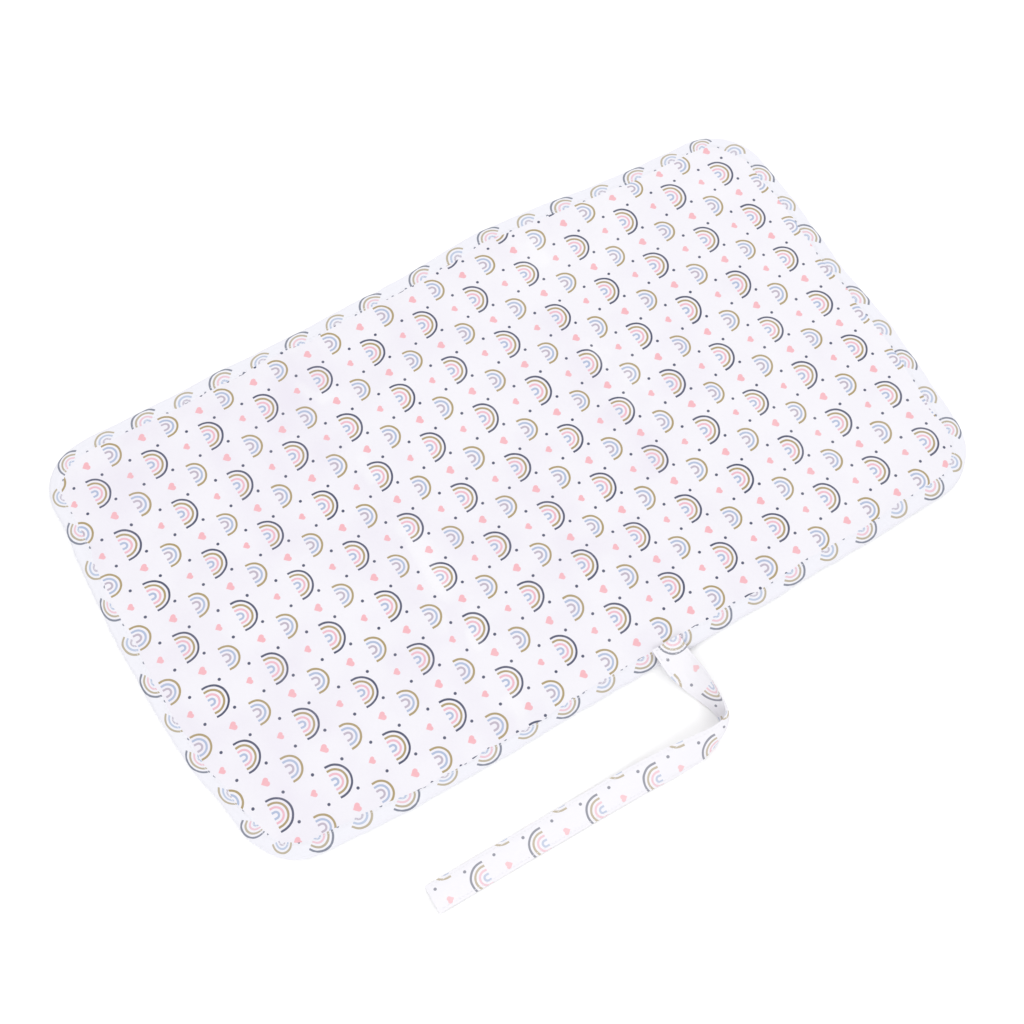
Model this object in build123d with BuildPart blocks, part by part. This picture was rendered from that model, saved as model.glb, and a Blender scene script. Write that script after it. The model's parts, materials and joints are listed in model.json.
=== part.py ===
"""Fold-up changing mat: three padded panels, an edge binding and a tie strap.

The mat lies flat with its padded face up.  Millimetres, +Z up, origin at the
centre of its underside.  +X runs along the long side.  The front edge, which
carries the strap, is at -Y.

The left and right panels fold over the middle one about two creases, left
first.  The strap is sewn on the middle of the front edge.  It lies out over
the edge, turns at a flat diagonal fold and runs back along the front edge.
"""

from build123d import *
import math
import os
from collections import namedtuple

# Mat
mat_length = 600.0
mat_width = 350.0
corner_radius = 45.0
crease_x = mat_length / 6
crease_gap = 0.8

# Layers, from the floor up
fabric = 0.5
wadding = 3.35
liner = 0.25
mat_thickness = fabric + wadding + liner + fabric

# Edge binding and its seam
binding_width = 14.0
binding_round = 0.7
stitch_inset = 12.6
thread = 0.25

# Tie strap
strap_width = 22.0
strap_thickness = 1.2
strap_x = 20.0
strap_fold_y = -234.0
strap_end_x = -204.0
strap_end_round = 2.0
strap_seam_length = 11.0
strap_overhang = 0.5
strap_hinge_gap = 0.9
strap_drop = 19.0
strap_drop_radius = 25.0
strap_stitch_inset = 2.0
fold_gap = 0.5
layer_gap = 0.3

# Heights that follow from the ones above
rim_bottom = fabric
rim_top = mat_thickness - fabric
front_y = -mat_width / 2
strap_mid_z = mat_thickness + strap_thickness / 2
floor_mid_z = strap_thickness / 2
second_layer_mid_z = strap_thickness + layer_gap + strap_thickness / 2
strap_hinge_y = front_y - strap_overhang - strap_hinge_gap

# A plate is a stretch of one layer between two heights.  It lies between two
# lines that follow the mat's outline, each given by its inset from the edge.
Plate = namedtuple("Plate", "outer_inset inner_inset low high")

# A region is the rectangle that cuts one piece out of the whole mat.
Region = namedtuple("Region", "x_min x_max y_min y_max")


def panel_regions():
    """Return the three panels' regions, with a gap at each crease."""
    reach_x = mat_length
    reach_y = mat_width
    half_gap = crease_gap / 2
    return {
        "left": Region(-reach_x, -crease_x - half_gap, -reach_y, reach_y),
        "middle": Region(-crease_x + half_gap, crease_x - half_gap, -reach_y, reach_y),
        "right": Region(crease_x + half_gap, reach_x, -reach_y, reach_y),
    }


def edge_regions(panels):
    """Return the regions of the four lengths of binding."""
    middle = panels["middle"]
    return {
        "left": panels["left"],
        "right": panels["right"],
        "middle_front": middle._replace(y_max=0.0),
        "middle_back": middle._replace(y_min=0.0),
    }


def build_plates(region, plates):
    """Stack plates into one piece and keep what lies in the region."""
    centre = ((region.x_min + region.x_max) / 2, (region.y_min + region.y_max) / 2)
    size = (region.x_max - region.x_min, region.y_max - region.y_min)
    with BuildPart() as piece:
        for plate in plates:
            with BuildSketch(Plane.XY.offset(plate.low)):
                RectangleRounded(
                    mat_length - 2 * plate.outer_inset,
                    mat_width - 2 * plate.outer_inset,
                    corner_radius - plate.outer_inset,
                )
                if plate.inner_inset is not None:
                    RectangleRounded(
                        mat_length - 2 * plate.inner_inset,
                        mat_width - 2 * plate.inner_inset,
                        corner_radius - plate.inner_inset,
                        mode=Mode.SUBTRACT,
                    )
                with Locations(centre):
                    Rectangle(*size, mode=Mode.INTERSECT)
            extrude(amount=plate.high - plate.low)
    return piece


def outline_distance(point):
    """Return how far a point lies outside the mat's rounded outline."""
    past_x = abs(point.X) - (mat_length / 2 - corner_radius)
    past_y = abs(point.Y) - (mat_width / 2 - corner_radius)
    outside = math.hypot(max(past_x, 0), max(past_y, 0))
    return outside + min(max(past_x, past_y), 0) - corner_radius


def is_outer_edge(edge):
    """Tell whether an edge follows the outline at the top or bottom face."""
    middle = edge @ 0.5
    on_face = min(abs(middle.Z), abs(middle.Z - mat_thickness)) < 0.01
    return on_face and abs(outline_distance(middle)) < 0.01


def save(piece, name):
    """Label a finished piece and write it as one STEP file."""
    piece.part.label = name
    export_step(piece.part, f"parts/{name}.step")


# ---------------------------------------------------------------- the layers
# Inside the binding every layer has its full height.  Under the binding the
# pad is pressed thinner, so each cover steps in by one fabric thickness.
step = binding_width + fabric
liner_step = step + fabric
rim_wadding_low = rim_bottom + fabric
rim_cover_low = rim_top - fabric
rim_liner_low = rim_cover_low - liner
wadding_top = fabric + wadding

back_cover_plates = [
    Plate(binding_width, None, 0.0, fabric),
    Plate(fabric, step, rim_bottom, rim_wadding_low),
]
wadding_plates = [
    Plate(step, None, fabric, rim_wadding_low),
    Plate(fabric, None, rim_wadding_low, rim_liner_low),
    Plate(liner_step, None, rim_liner_low, wadding_top),
]
liner_plates = [
    Plate(fabric, liner_step, rim_liner_low, rim_cover_low),
    Plate(step, liner_step, rim_cover_low, wadding_top),
    Plate(step, None, wadding_top, wadding_top + liner),
]
top_cover_plates = [
    Plate(fabric, step, rim_cover_low, rim_top),
    Plate(binding_width, None, rim_top, mat_thickness),
]
pad_layers = {
    "back_cover": back_cover_plates,
    "wadding": wadding_plates,
    "waterproof_liner": liner_plates,
    "top_cover": top_cover_plates,
}

# The binding is one strip folded round the edge: two legs and a narrow wall.
binding_plates = [
    Plate(0.0, binding_width, 0.0, rim_bottom),
    Plate(0.0, fabric, rim_bottom, rim_top),
    Plate(0.0, binding_width, rim_top, mat_thickness),
]
stitch_plates = [
    Plate(stitch_inset, stitch_inset + thread, mat_thickness, mat_thickness + thread),
]

os.makedirs("parts", exist_ok=True)
panels = panel_regions()
edges = edge_regions(panels)

for layer_name, plates in pad_layers.items():
    for panel_name, region in panels.items():
        save(build_plates(region, plates), f"{layer_name}_{panel_name}")

for edge_name, region in edges.items():
    binding = build_plates(region, binding_plates)
    with binding:
        fillet(binding.edges().filter_by(is_outer_edge), binding_round)
    save(binding, f"binding_{edge_name}")
    save(build_plates(region, stitch_plates), f"binding_stitch_{edge_name}")

# ----------------------------------------------------------------- the strap
# The sewn end lies on the binding, held by a boxed cross of stitching.
seam_y_min = front_y - strap_overhang
seam_y_max = front_y + strap_seam_length
seam_centre_y = (seam_y_min + seam_y_max) / 2
box_length = strap_width - 2 * strap_stitch_inset
box_depth = strap_seam_length - 2 * strap_stitch_inset
box_centre_y = front_y + strap_seam_length / 2

with BuildPart() as strap_root:
    with BuildSketch(Plane.XY.offset(mat_thickness)):
        with Locations((strap_x, seam_centre_y)):
            Rectangle(strap_width, seam_y_max - seam_y_min)
    extrude(amount=strap_thickness)
save(strap_root, "strap_root")

with BuildPart() as strap_box_stitch:
    with BuildSketch(Plane.XY.offset(mat_thickness + strap_thickness)):
        with Locations((strap_x, box_centre_y)):
            Rectangle(box_length, box_depth)
            Rectangle(box_length - 2 * thread, box_depth - 2 * thread, mode=Mode.SUBTRACT)
            box_diagonal = math.hypot(box_length, box_depth) - 2 * thread
            box_angle = math.degrees(math.atan2(box_depth, box_length))
            for angle in (box_angle, -box_angle):
                Rectangle(box_diagonal, thread, rotation=angle)
    extrude(amount=thread)
save(strap_box_stitch, "strap_box_stitch")

# The strap turns by a diagonal fold: its near part is the lower layer there,
# and its free part the upper one.  Both stop just short of the fold line.
fold_corner = strap_width / 2
fold_offset = fold_gap / 2 * math.sqrt(2)
fold_plane = Plane(
    origin=(strap_x - fold_offset, strap_fold_y + fold_offset, 0),
    x_dir=(1, 1, 0),
    z_dir=(-1, 1, 0),
)


def strap_strip(path_points, plane, side_dir):
    """Sweep the strap's flat section along a path with rounded bends."""
    with BuildPart() as strip:
        with BuildLine(plane):
            path = FilletPolyline(*path_points, radius=strap_drop_radius)
        with BuildSketch(Plane(origin=path @ 0, x_dir=side_dir, z_dir=path % 0)):
            Rectangle(strap_width, strap_thickness)
        sweep(path=path)
    return strip


def strap_stitching(path_points, plane, side_dir):
    """Sweep the two lines of edge stitching that lie on the strap."""
    line_offset = strap_width / 2 - strap_stitch_inset
    with BuildPart() as stitching:
        with BuildLine(plane):
            path = FilletPolyline(*path_points, radius=strap_drop_radius)
        with BuildSketch(Plane(origin=path @ 0, x_dir=side_dir, z_dir=path % 0)):
            with GridLocations(2 * line_offset, 0, 2, 1):
                with Locations((0, (strap_thickness + thread) / 2)):
                    Rectangle(thread, thread)
        sweep(path=path)
    return stitching


# Near part: from the seam down off the mat's edge to the floor, then to the
# fold.  Its path is drawn in the upright plane along the strap, (y, z).
near_plane = Plane.YZ.offset(strap_x)
near_start_y = strap_hinge_y - strap_hinge_gap
drop_start_y = near_start_y - strap_hinge_gap * 5
drop_end_y = drop_start_y - strap_drop
near_drop = [
    (near_start_y, strap_mid_z),
    (drop_start_y, strap_mid_z),
    (drop_end_y, floor_mid_z),
]
near_end_y = strap_fold_y - fold_corner - layer_gap
near_stitch_end_y = strap_fold_y + fold_corner + 2 * strap_stitch_inset

strap_near = strap_strip(near_drop + [(near_end_y, floor_mid_z)], near_plane, (1, 0, 0))
with strap_near:
    split(bisect_by=fold_plane, keep=Keep.TOP)
save(strap_near, "strap_near")
save(
    strap_stitching(near_drop + [(near_stitch_end_y, floor_mid_z)], near_plane, (1, 0, 0)),
    "strap_near_stitch",
)

# Free part: over the near part at the fold, down to the floor beside it, then
# along the mat's front edge.  Its path is drawn in the plane (x, z).
free_plane = Plane(origin=(0, strap_fold_y, 0), x_dir=(1, 0, 0), z_dir=(0, -1, 0))
free_start_x = strap_x + fold_corner + layer_gap
step_start_x = strap_x - fold_corner - 2 * layer_gap
step_end_x = step_start_x - strap_drop
free_step = [
    (step_start_x, second_layer_mid_z),
    (step_end_x, floor_mid_z),
    (strap_end_x, floor_mid_z),
]

strap_free = strap_strip(
    [(free_start_x, second_layer_mid_z)] + free_step, free_plane, (0, -1, 0)
)
with strap_free:
    split(bisect_by=fold_plane, keep=Keep.TOP)
    end_corners = strap_free.edges().filter_by(Axis.Z).group_by(Axis.X)[0]
    fillet(end_corners, strap_end_round)
save(strap_free, "strap_free")

free_stitch_end = (strap_end_x + strap_stitch_inset, floor_mid_z)
strap_free_stitch = strap_stitching(
    [(free_start_x, second_layer_mid_z)] + free_step[:-1] + [free_stitch_end],
    free_plane,
    (0, -1, 0),
)
with strap_free_stitch:
    split(bisect_by=fold_plane, keep=Keep.TOP)
save(strap_free_stitch, "strap_free_stitch")
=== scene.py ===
import json
import math

import bpy
import numpy as np
from mathutils import Matrix, Vector


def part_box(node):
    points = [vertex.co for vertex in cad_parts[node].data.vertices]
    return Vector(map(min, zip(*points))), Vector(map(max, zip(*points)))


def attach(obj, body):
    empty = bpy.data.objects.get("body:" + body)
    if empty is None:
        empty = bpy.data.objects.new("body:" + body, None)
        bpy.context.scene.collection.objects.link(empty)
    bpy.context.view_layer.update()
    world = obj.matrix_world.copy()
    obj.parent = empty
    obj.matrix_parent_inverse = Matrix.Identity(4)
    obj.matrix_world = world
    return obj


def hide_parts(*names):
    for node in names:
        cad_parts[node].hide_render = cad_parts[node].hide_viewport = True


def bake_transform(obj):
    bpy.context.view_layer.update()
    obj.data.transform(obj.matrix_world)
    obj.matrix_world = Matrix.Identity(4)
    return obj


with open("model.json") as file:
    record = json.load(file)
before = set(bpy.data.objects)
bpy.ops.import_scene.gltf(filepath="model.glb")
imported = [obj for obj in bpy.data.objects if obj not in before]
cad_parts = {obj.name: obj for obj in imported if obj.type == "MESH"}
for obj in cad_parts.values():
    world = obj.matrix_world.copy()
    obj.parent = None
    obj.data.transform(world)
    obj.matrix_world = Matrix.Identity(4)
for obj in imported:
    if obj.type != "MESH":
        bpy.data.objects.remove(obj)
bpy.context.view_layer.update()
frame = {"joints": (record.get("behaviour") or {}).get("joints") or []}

MM = 0.001

# ---------------------------------------------------------------- the frame's sizes, in mm
def node_box(name):
    lo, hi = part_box(name)
    return [c / MM for c in lo], [c / MM for c in hi]


X0, Y0 = node_box("binding_left")[0][:2]
X1, Y1 = node_box("binding_right")[1][:2]
THICK = node_box("binding_left")[1][2]
CORNER = 45.0               # radius of the mat's corners
CREASES = sorted(j["pos_m"][0] / MM for j in frame["joints"] if j["name"] in ("left_fold", "right_fold"))


# ---------------------------------------------------------------- camera, floor and light
def camera():
    data = bpy.data.cameras.new("camera")
    data.lens = 59.84
    data.clip_end = 30
    obj = bpy.data.objects.new("camera", data)
    bpy.context.collection.objects.link(obj)
    right = Vector((0.853236, -0.520281, 0.035992))
    up = Vector((0.469787, 0.796727, 0.380166))
    back = right.cross(up)
    place = Matrix((right, up, back)).transposed().to_4x4()
    place.translation = Vector((-0.29095, -0.39596, 1.11194))
    obj.matrix_world = place
    bpy.context.scene.camera = obj


def area_light(name, place, aim, size, power, colour=(1, 1, 1)):
    data = bpy.data.lights.new(name, "AREA")
    data.energy, data.size, data.color = power, size, colour
    obj = bpy.data.objects.new(name, data)
    bpy.context.collection.objects.link(obj)
    obj.location = place
    obj.rotation_euler = (Vector(aim) - Vector(place)).to_track_quat("-Z", "Y").to_euler()


def studio():
    world = bpy.data.worlds.new("studio")
    bpy.context.scene.world = world
    world.use_nodes = True
    sky = world.node_tree.nodes["Background"]
    sky.inputs["Color"].default_value = (1.0, 1.0, 1.0, 1)
    sky.inputs["Strength"].default_value = 0.86
    area_light("key_light", (3.0, 2.2, 2.6), (0, 0, 0), 1.6, 52)
    area_light("top_light", (-0.2, 0.3, 2.2), (0, 0, 0), 1.8, 4.5)
    area_light("fill_light", (-1.6, -2.2, 1.8), (0, 0, 0), 1.8, 27)
    bpy.context.scene.view_settings.view_transform = "Standard"


# ---------------------------------------------------------------- numbers in a node tree
class Num:
    """A value in a node tree; arithmetic on it adds Math nodes."""

    def __init__(self, tree, socket):
        self.tree, self.socket = tree, socket

    def math(self, operation, *others, clamp=False):
        node = self.tree.nodes.new("ShaderNodeMath")
        node.operation, node.use_clamp = operation, clamp
        for k, v in enumerate((self, *others)):
            plug(self.tree, v, node.inputs[k])
        return Num(self.tree, node.outputs[0])

    def __add__(self, o): return self.math("ADD", o)
    def __sub__(self, o): return self.math("SUBTRACT", o)
    def __mul__(self, o): return self.math("MULTIPLY", o)
    def __truediv__(self, o): return self.math("DIVIDE", o)
    def clip(self): return self.math("ADD", 0.0, clamp=True)
    def low(self, o): return self.math("MINIMUM", o)
    def high(self, o): return self.math("MAXIMUM", o)
    def abs(self): return self.math("ABSOLUTE")
    def root(self): return self.math("SQRT")
    def sin(self): return self.math("SINE")
    def wrap(self, lo, hi): return self.math("WRAP", hi, lo)

    def step(self, lo, hi):
        """0 below lo, 1 above hi, smooth between; with lo above hi it falls."""
        node = self.tree.nodes.new("ShaderNodeMapRange")
        node.interpolation_type = "SMOOTHSTEP"
        plug(self.tree, self, node.inputs["Value"])
        a, b, flip = (lo, hi, False) if lo < hi else (hi, lo, True)
        node.inputs["From Min"].default_value, node.inputs["From Max"].default_value = a, b
        node.inputs["To Min"].default_value, node.inputs["To Max"].default_value = (1, 0) if flip else (0, 1)
        return Num(self.tree, node.outputs["Result"])


def plug(tree, value, socket):
    if isinstance(value, Num):
        tree.links.new(value.socket, socket)
    else:
        socket.default_value = value


def add(tree, kind, **inputs):
    node = tree.nodes.new(kind)
    for k, v in inputs.items():
        plug(tree, v, node.inputs[k.replace("_", " ")])
    return node


def vector(tree, x, y, z=0.0):
    return Num(tree, add(tree, "ShaderNodeCombineXYZ", X=x, Y=y, Z=z).outputs[0])


def noise(tree, where, scale, detail=2.0, rough=0.5):
    """Smooth noise about 0, from -0.5 to 0.5."""
    node = add(tree, "ShaderNodeTexNoise", Vector=where, Scale=scale, Detail=detail, Roughness=rough)
    return Num(tree, node.outputs["Fac"]) - 0.5


def mix(tree, share, a, b):
    node = tree.nodes.new("ShaderNodeMix")
    node.data_type = "RGBA"
    plug(tree, share, node.inputs[0])
    plug(tree, a, node.inputs[6])
    plug(tree, b, node.inputs[7])
    return Num(tree, node.outputs[2])


def paint(r, g, b):
    """A cloth colour from its look on a screen under this scene's light."""
    def linear(c):
        c /= 255
        return (c / 12.92 if c < 0.04045 else ((c + 0.055) / 1.055) ** 2.4) * 0.865
    return (linear(r), linear(g), linear(b), 1)


# ---------------------------------------------------------------- the printed pattern
PRINT_REPEAT = 44.0        # mm, the same both ways; the smaller arch stands half a repeat across and up
PRINT_EDGE = 0.16          # how softly the ink ends
ARCH_BAND, ARCH_LEG = 1.5, 2.0
DOT_RADIUS = 1.1
GROUND = paint(245, 243, 249)
SLATE, GOLD = paint(34, 48, 84), paint(168, 146, 86)
MAUVE, BLUE = paint(188, 176, 192), paint(170, 186, 216)
PINK, HEART = paint(240, 182, 196), paint(248, 180, 188)

# place across and up in shares of the repeat, outer radius, colours from the outside in
ARCHES = [(0.0, 0.0, 11.0, (SLATE, GOLD, PINK, BLUE)), (0.5, 0.5, 8.5, (GOLD, BLUE, MAUVE))]
HEARTS = [(0.5, 0.08, 3.6), (0.0, 0.62, 3.0)]      # place across and up, side of its square


def print_group():
    """A plain nursery print: two sizes of round arch, hearts and dots on a regular lattice."""
    tree = bpy.data.node_groups.new("arch_print", "ShaderNodeTree")
    tree.interface.new_socket("Flat", in_out="INPUT", socket_type="NodeSocketVector")
    tree.interface.new_socket("Color", in_out="OUTPUT", socket_type="NodeSocketColor")
    tree.interface.new_socket("Ink", in_out="OUTPUT", socket_type="NodeSocketFloat")
    flat = Num(tree, tree.nodes.new("NodeGroupInput").outputs["Flat"])
    split = add(tree, "ShaderNodeSeparateXYZ", Vector=flat)
    right, up = (Num(tree, s) for s in split.outputs[:2])
    wobble = noise(tree, flat, 0.12, 1.0) * 0.5
    colour = Num(tree, add(tree, "ShaderNodeRGB").outputs[0])
    colour.socket.default_value = GROUND
    ink = None
    half = PRINT_REPEAT / 2

    def lay(distance, tint, share=1.0):
        """Prints one shape, inside where distance is below 0."""
        nonlocal colour, ink
        share = distance.step(PRINT_EDGE, -PRINT_EDGE) * share
        colour = mix(tree, share, colour, tint)
        ink = share if ink is None else ink.high(share)

    def around(across, high):
        """How far right of and above the nearest repeat of a place."""
        return ((right - PRINT_REPEAT * across).wrap(-half, half),
                (up - PRINT_REPEAT * high).wrap(-half, half))

    for across, high, radius, tints in ARCHES:
        x, y = around(across, high)
        rise = y.high(0.0)
        r = (x * x + rise * rise).root() + wobble
        above = (y + ARCH_LEG).step(-PRINT_EDGE, PRINT_EDGE)
        for k, tint in enumerate(tints):
            lay((r - (radius - 2 * k * ARCH_BAND)).abs() - ARCH_BAND / 2, tint, above)

    for across, high, side in HEARTS:
        x, y = around(across, high)
        x, lobe = x.abs(), side / math.sqrt(8)
        square = (x + y.abs() - 2 * lobe) * math.sqrt(0.5)
        dx, dy = x - lobe, y - lobe
        lay(square.low((dx * dx + dy * dy).root() - side / 2), HEART)

    x, y = ((v - half / 2).wrap(-half / 2, half / 2) for v in (right, up))
    lay((x * x + y * y).root() - DOT_RADIUS, SLATE)

    out = tree.nodes.new("NodeGroupOutput")
    plug(tree, colour, out.inputs["Color"])
    plug(tree, ink, out.inputs["Ink"])
    return tree


# ---------------------------------------------------------------- cloths
def shader(name, rough, **fixed):
    mat = bpy.data.materials.new(name)
    mat.use_nodes = True
    tree = mat.node_tree
    bsdf = tree.nodes["Principled BSDF"]
    bsdf.inputs["Roughness"].default_value = rough
    for k, v in fixed.items():
        bsdf.inputs[k.replace("_", " ")].default_value = v
    return mat, tree, bsdf


def flat_of(tree):
    node = tree.nodes.new("ShaderNodeAttribute")
    node.attribute_type = "GEOMETRY"
    node.attribute_name = "flat"
    return Num(tree, node.outputs["Vector"])


def painted_light_and_shade_of(tree):
    """How much paler, above 0, or deeper, below 0, the cloth is painted at a place: painted highlight and
    painted shade along the folds, a painted shadow round the strap's sewn end and painted light growing
    toward +X, over random tone.
    """
    node = tree.nodes.new("ShaderNodeAttribute")
    node.attribute_type = "GEOMETRY"
    node.attribute_name = "tone"
    return Num(tree, node.outputs["Fac"])


def weave(tree, flat, pitch):
    """Height of a plain weave, 0 to 1: threads over and under in both directions."""
    parts = add(tree, "ShaderNodeSeparateXYZ", Vector=flat)
    slub = noise(tree, flat, 0.35, 2.0) * 0.5
    a = (Num(tree, parts.outputs[0]) + slub) * (math.pi / pitch)
    b = (Num(tree, parts.outputs[1]) + slub) * (math.pi / pitch)
    return a.sin() * b.sin() * 0.5 + 0.5


def bump(tree, height, distance, strength, bsdf, under=None):
    node = tree.nodes.new("ShaderNodeBump")
    node.inputs["Strength"].default_value = strength
    node.inputs["Distance"].default_value = distance
    plug(tree, height, node.inputs["Height"])
    if under:
        tree.links.new(under.outputs[0], node.inputs["Normal"])
    tree.links.new(node.outputs[0], bsdf.inputs["Normal"])
    return node


def printed_cloth(name, group, tint, tint_share, sheen):
    mat, tree, bsdf = shader(name, 0.82, Sheen_Weight=sheen, Sheen_Roughness=0.45, Specular_IOR_Level=0.12)
    flat = flat_of(tree)
    pattern = tree.nodes.new("ShaderNodeGroup")
    pattern.node_tree = group
    plug(tree, flat, pattern.inputs["Flat"])
    colour, ink = (Num(tree, pattern.outputs[k]) for k in ("Color", "Ink"))
    threads = weave(tree, flat, 0.42)
    cloud = noise(tree, flat, 0.012, 3.0)
    lint = noise(tree, flat, 0.9, 3.0, 0.7)
    faded = (noise(tree, flat, 0.5, 3.0, 0.6) * 0.3).high(0.0) + (threads * 0.06)
    colour = mix(tree, (ink * faded).clip(), colour, GROUND)      # the ink is thinner on some threads
    colour = mix(tree, tint_share, colour, tint)
    # tone carries the painted light and shade of the folds and the strap's end, weaker on the ink
    tone = painted_light_and_shade_of(tree) * (ink * -0.75 + 1.0)
    colour = mix(tree, (cloud * 0.30 + 0.10).clip(), colour, mix(tree, 0.5, colour, paint(236, 229, 245)))
    # painted highlight where tone is above 0, painted shade where it is below 0
    colour = mix(tree, (tone * 0.6).clip(), colour, paint(254, 253, 255))
    colour = mix(tree, (tone * -0.7).clip(), colour, paint(230, 222, 238))
    colour = mix(tree, (threads * 0.05 + lint * 0.05).clip(), colour, paint(226, 227, 238))
    plug(tree, colour, bsdf.inputs["Base Color"])
    plug(tree, lint * 0.14 + ink * -0.05 + 0.82, bsdf.inputs["Roughness"])
    soft = bump(tree, noise(tree, flat, 0.06, 3.0, 0.55), 0.0012, 0.35, bsdf)
    bump(tree, threads + lint * 0.6, 0.00009, 0.6, bsdf, soft)
    return mat


def plain_cloth(name, colour, shade, pitch, rough, sheen, depth=0.0001):
    mat, tree, bsdf = shader(name, rough, Sheen_Weight=sheen, Sheen_Roughness=0.5, Specular_IOR_Level=0.25)
    flat = flat_of(tree)
    threads = weave(tree, flat, pitch)
    lint = noise(tree, flat, 0.8, 3.0, 0.7)
    cloud = noise(tree, flat, 0.02, 3.0)
    tone = mix(tree, (threads * 0.35 + lint * 0.5 + cloud * 0.6 + 0.1).clip(), colour, shade)
    plug(tree, tone, bsdf.inputs["Base Color"])
    plug(tree, lint * 0.16 + rough, bsdf.inputs["Roughness"])
    soft = bump(tree, noise(tree, flat, 0.05, 3.0), 0.001, 0.3, bsdf)
    bump(tree, threads + lint * 0.5, depth, 0.7, bsdf, soft)
    return mat


def thread_cloth():
    mat, tree, bsdf = shader("sewing_thread", 0.6, Sheen_Weight=0.2, Specular_IOR_Level=0.4)
    flat = flat_of(tree)
    parts = add(tree, "ShaderNodeSeparateXYZ", Vector=flat)
    ply = ((Num(tree, parts.outputs[0]) + Num(tree, parts.outputs[1]) * 0.6) * 14.0).sin() * 0.5 + 0.5
    tone = mix(tree, ply * 0.4, paint(252, 251, 254), paint(236, 235, 244))
    plug(tree, tone, bsdf.inputs["Base Color"])
    bump(tree, ply, 0.00006, 0.8, bsdf)
    return mat


def wadding_cloth():
    mat, tree, bsdf = shader("wadding_fibre", 0.95, Sheen_Weight=0.4, Specular_IOR_Level=0.1)
    flat = flat_of(tree)
    fibres = noise(tree, flat, 0.45, 8.0, 0.75)
    clumps = noise(tree, flat, 0.08, 3.0)
    tone = mix(tree, (fibres * 0.9 + clumps * 0.5 + 0.4).clip(), paint(250, 250, 248), paint(214, 214, 214))
    plug(tree, tone, bsdf.inputs["Base Color"])
    bump(tree, fibres + clumps, 0.0006, 0.8, bsdf)
    return mat


def film():
    mat, tree, bsdf = shader("liner_film", 0.32, Coat_Weight=0.2, Coat_Roughness=0.3, Specular_IOR_Level=0.5)
    flat = flat_of(tree)
    crinkle = noise(tree, flat, 0.12, 5.0, 0.6)
    tone = mix(tree, (crinkle + 0.5).clip(), paint(238, 242, 246), paint(222, 229, 238))
    plug(tree, tone, bsdf.inputs["Base Color"])
    plug(tree, crinkle * 0.25 + 0.34, bsdf.inputs["Roughness"])
    bump(tree, crinkle, 0.0006, 0.5, bsdf)
    return mat


# ---------------------------------------------------------------- numpy helpers
def soft_noise(x, y, size, seed):
    """Smooth noise from -1 to 1 over the plane, with features about size mm wide."""
    x, y = np.broadcast_arrays(np.asarray(x, float) / size, np.asarray(y, float) / size)
    ix, iy = np.floor(x), np.floor(y)
    fx, fy = x - ix, y - iy
    fx, fy = (f * f * f * (f * (f * 6 - 15) + 10) for f in (fx, fy))

    def corner(i, j):
        v = np.sin(i * 127.1 + j * 311.7 + seed * 74.7) * 43758.5453
        return (v - np.floor(v)) * 2 - 1

    low = corner(ix, iy) * (1 - fx) + corner(ix + 1, iy) * fx
    high = corner(ix, iy + 1) * (1 - fx) + corner(ix + 1, iy + 1) * fx
    return low * (1 - fy) + high * fy


def smooth(x, lo, hi):
    t = np.clip((x - lo) / (hi - lo), 0, 1)
    return t * t * (3 - 2 * t)


def inset(x, y):
    """Distance in from the mat's outline."""
    qx = np.abs(x - (X0 + X1) / 2) - ((X1 - X0) / 2 - CORNER)
    qy = np.abs(y - (Y0 + Y1) / 2) - ((Y1 - Y0) / 2 - CORNER)
    return CORNER - np.hypot(np.maximum(qx, 0), np.maximum(qy, 0)) - np.minimum(np.maximum(qx, qy), 0)


# where the sewn edge leaves a true rounded rectangle: direction from the middle and its spread in degrees,
# and how far in, mm
EDGE_BENDS = [(25, 12, -3.0), (50, 9, 5.5), (76, 10, -6.0), (145, 9, 6.0), (220, 13, 13.0), (318, 11, 3.5),
              (350, 14, -3.0)]
EDGE_REACH = 38             # how far in from the edge a bend is felt, mm


def warp(x, y):
    """A place on the true outline's net, moved so that the edge runs as the sewn one does."""
    turn = np.degrees(np.arctan2(y / (Y1 - Y0), x / (X1 - X0))) % 360
    pull = sum(depth * np.exp(-(((turn - at + 180) % 360 - 180) / wide) ** 2)
               for at, wide, depth in EDGE_BENDS)

    def fall(d):
        return np.exp(-(d / EDGE_REACH) ** 2)

    vx, vy = fall(x - X0) - fall(X1 - x), fall(y - Y0) - fall(Y1 - y)
    size = np.maximum(np.hypot(vx, vy), 1)
    return x + pull * vx / size, y + pull * vy / size


def mesh_piece(name, points, faces, mat, flat, sharp=(), tone=None):
    """A mesh from points in mm; flat is each point's place on the flat cloth, in mm."""
    points = np.asarray(points)
    me = bpy.data.meshes.new(name)
    me.from_pydata((points * MM).tolist(), [], faces)
    me.validate()
    me.polygons.foreach_set("use_smooth", [True] * len(me.polygons))
    at = me.attributes.new("flat", "FLOAT_VECTOR", "POINT")
    at.data.foreach_set("vector", np.asarray(flat, np.float32).ravel())
    # tone: the painted light and shade of the folds, per point
    if tone is not None:
        at = me.attributes.new("tone", "FLOAT", "POINT")
        at.data.foreach_set("value", np.asarray(tone, np.float32).ravel())
    if len(sharp):
        keys = set(tuple(sorted(e)) for e in sharp)
        edge = me.attributes.new("sharp_edge", "BOOLEAN", "EDGE")
        edge.data.foreach_set("value", [tuple(sorted(e.vertices)) in keys for e in me.edges])
    me.materials.append(mat)
    obj = bpy.data.objects.new(name, me)
    bpy.context.collection.objects.link(obj)
    return obj


def rim_edges(faces):
    """The directed edges that only one face has."""
    seen = {}
    for f in faces:
        for a, b in zip(f, f[1:] + f[:1]):
            seen[(a, b)] = True
    return [(a, b) for a, b in seen if (b, a) not in seen]


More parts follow.
